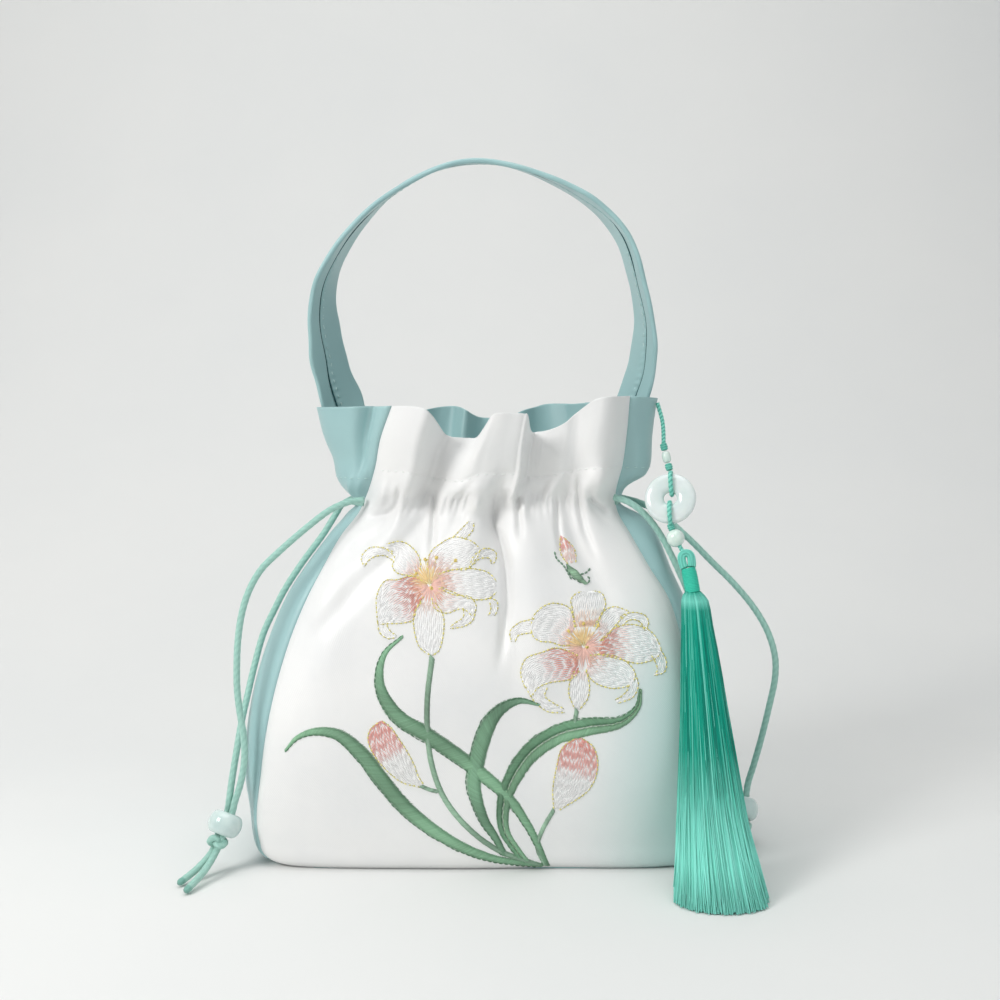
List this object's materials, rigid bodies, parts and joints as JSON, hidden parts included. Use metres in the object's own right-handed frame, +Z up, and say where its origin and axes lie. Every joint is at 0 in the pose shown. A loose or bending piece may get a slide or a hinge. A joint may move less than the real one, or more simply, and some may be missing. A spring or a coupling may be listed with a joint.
{
  "type": "drawstring handbag",
  "caption": "Small satin drawstring handbag with a white lily-embroidered front, aqua gusset and back, strap handle, beaded cord ends and a disc tassel.",
  "frame": {"origin": "centre of the flat base, on the surface that the bag stands on", "axes": "+Z up, +Y from the embroidered front to the back, +X towards the side with the tassel"},
  "size_m": [0.2674, 0.146, 0.3166],
  "materials": {
    "white_satin": "soft satin twill",
    "aqua_satin": "soft satin",
    "mint_cord": "satin twisted cord",
    "porcelain": "glazed",
    "white_jade": "polished",
    "pale_jade": "polished",
    "teal_silk": "glossy silk thread"
  },
  "bodies": {
    "root": {"front_panel": "white_satin", "back_panel": "aqua_satin", "gusset_strip": "aqua_satin", "handle_strap": "aqua_satin", "pendant_tube_bead": "pale_jade", "pendant_round_bead": "pale_jade", "pendant_disc": "white_jade", "bead_left": "porcelain", "drawstring_left_outer": "mint_cord", "drawstring_left_inner": "mint_cord", "drawstring_left_tail_outer": "mint_cord", "drawstring_left_tail_inner": "mint_cord", "drawstring_left_crossing": "mint_cord", "knot_left": "mint_cord", "bead_right": "porcelain", "drawstring_right_outer": "mint_cord", "drawstring_right_inner": "mint_cord", "drawstring_right_tail_outer": "mint_cord", "drawstring_right_tail_inner": "mint_cord", "drawstring_right_crossing": "mint_cord", "knot_right": "mint_cord", "pendant_thread": "teal_silk", "pendant_upper_knot": "teal_silk", "pendant_middle_knot": "teal_silk", "pendant_lower_knot": "teal_silk", "pendant_loop_upper": "teal_silk", "pendant_loop_lower": "teal_silk", "tassel_link": "teal_silk", "tassel_cap": "teal_silk", "tassel_neck": "teal_silk", "tassel_skirt": "teal_silk"}
  },
  "joints": []
}
